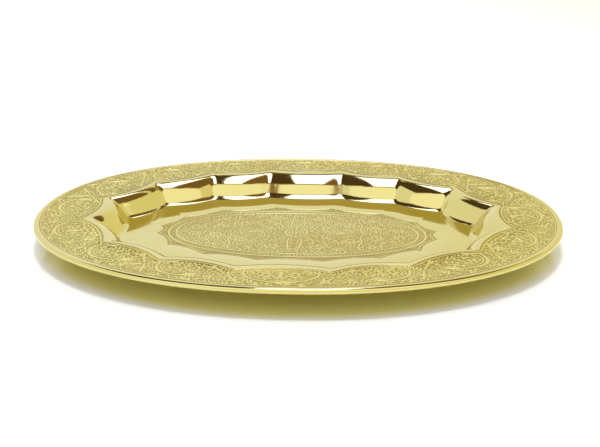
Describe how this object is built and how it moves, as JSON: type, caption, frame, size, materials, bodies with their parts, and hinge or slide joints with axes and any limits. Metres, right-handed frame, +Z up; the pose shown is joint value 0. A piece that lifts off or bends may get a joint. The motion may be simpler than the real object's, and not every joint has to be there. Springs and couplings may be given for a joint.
{
  "type": "oval serving tray",
  "caption": "Oval brass serving tray with a fluted well, a wide engraved rim, an engraved oval panel on its floor and an edge rolled over wire.",
  "frame": {"origin": "middle of the floor's underside, on the surface that the tray stands on", "axes": "+X along the tray's long side, +Y across it, +Z up out of the well"},
  "size_m": [0.35, 0.264, 0.0175],
  "materials": {
    "brass_sheet": "polished",
    "steel_wire": "drawn"
  },
  "bodies": {
    "root": {"tray_pan": "brass_sheet", "edge_wire": "steel_wire"}
  },
  "joints": []
}
